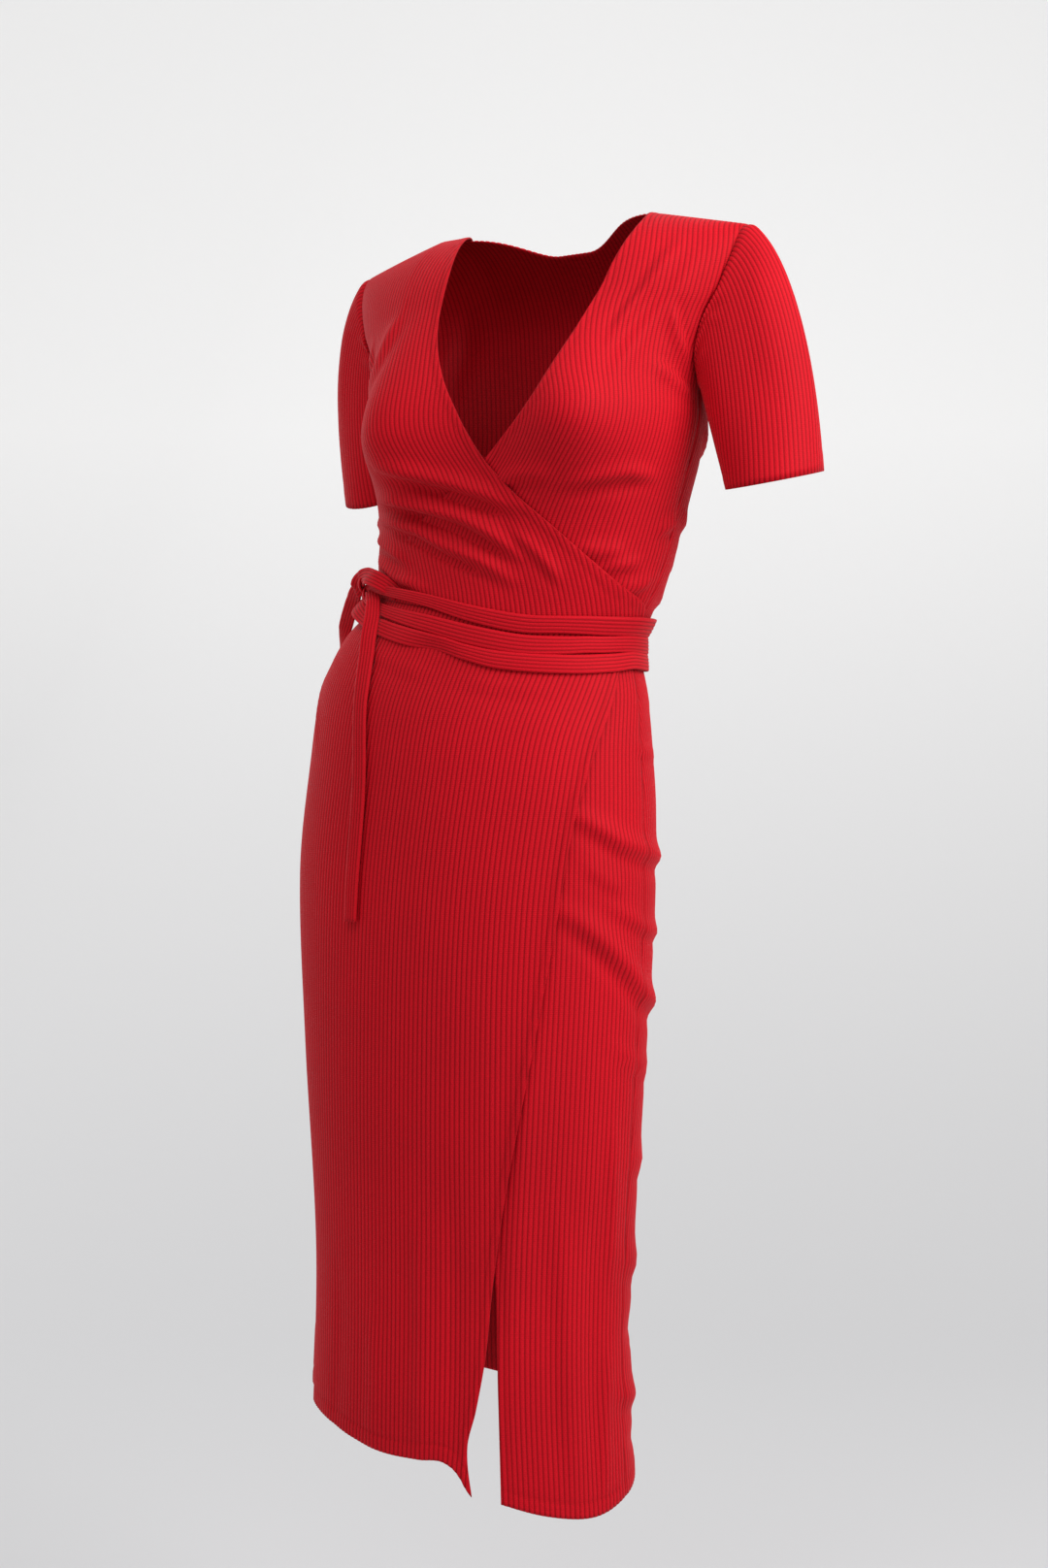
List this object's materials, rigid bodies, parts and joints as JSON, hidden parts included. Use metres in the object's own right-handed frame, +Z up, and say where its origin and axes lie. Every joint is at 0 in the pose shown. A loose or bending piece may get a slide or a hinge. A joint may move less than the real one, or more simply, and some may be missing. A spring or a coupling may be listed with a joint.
{
  "type": "wrap dress",
  "caption": "Midi wrap dress in rib knit with short set-in sleeves, crossed V neckline, overlapping skirt fronts and a knotted self-fabric tie, in its worn shape.",
  "frame": {"origin": "middle of the shoulder line, at the height of the two neck points of the shoulder seams", "axes": "+Z up along the wearer's body, +X to the wearer's left, -Y to the wearer's front"},
  "size_m": [0.5056, 0.2584, 1.1162],
  "materials": {
    "bodice_back_cloth": "matt",
    "bodice_front_right_cloth": "matt",
    "bodice_front_left_cloth": "matt",
    "sleeve_right_cloth": "matt",
    "sleeve_left_cloth": "matt",
    "skirt_back_cloth": "matt",
    "skirt_front_right_cloth": "matt",
    "skirt_front_left_cloth": "matt",
    "tie_wrap_upper_cloth": "matt",
    "tie_wrap_middle_cloth": "matt",
    "tie_wrap_lower_cloth": "matt",
    "tie_knot_cloth": "matt",
    "tie_tail_front_cloth": "matt",
    "tie_tail_back_cloth": "matt"
  },
  "bodies": {
    "root": {"bodice_back": "bodice_back_cloth", "bodice_front_right": "bodice_front_right_cloth", "bodice_front_left": "bodice_front_left_cloth", "sleeve_right": "sleeve_right_cloth", "sleeve_left": "sleeve_left_cloth", "skirt_back": "skirt_back_cloth", "skirt_front_right": "skirt_front_right_cloth", "skirt_front_left": "skirt_front_left_cloth", "tie_wrap_upper": "tie_wrap_upper_cloth", "tie_wrap_middle": "tie_wrap_middle_cloth", "tie_wrap_lower": "tie_wrap_lower_cloth", "tie_knot": "tie_knot_cloth", "tie_tail_front": "tie_tail_front_cloth", "tie_tail_back": "tie_tail_back_cloth"}
  },
  "joints": []
}
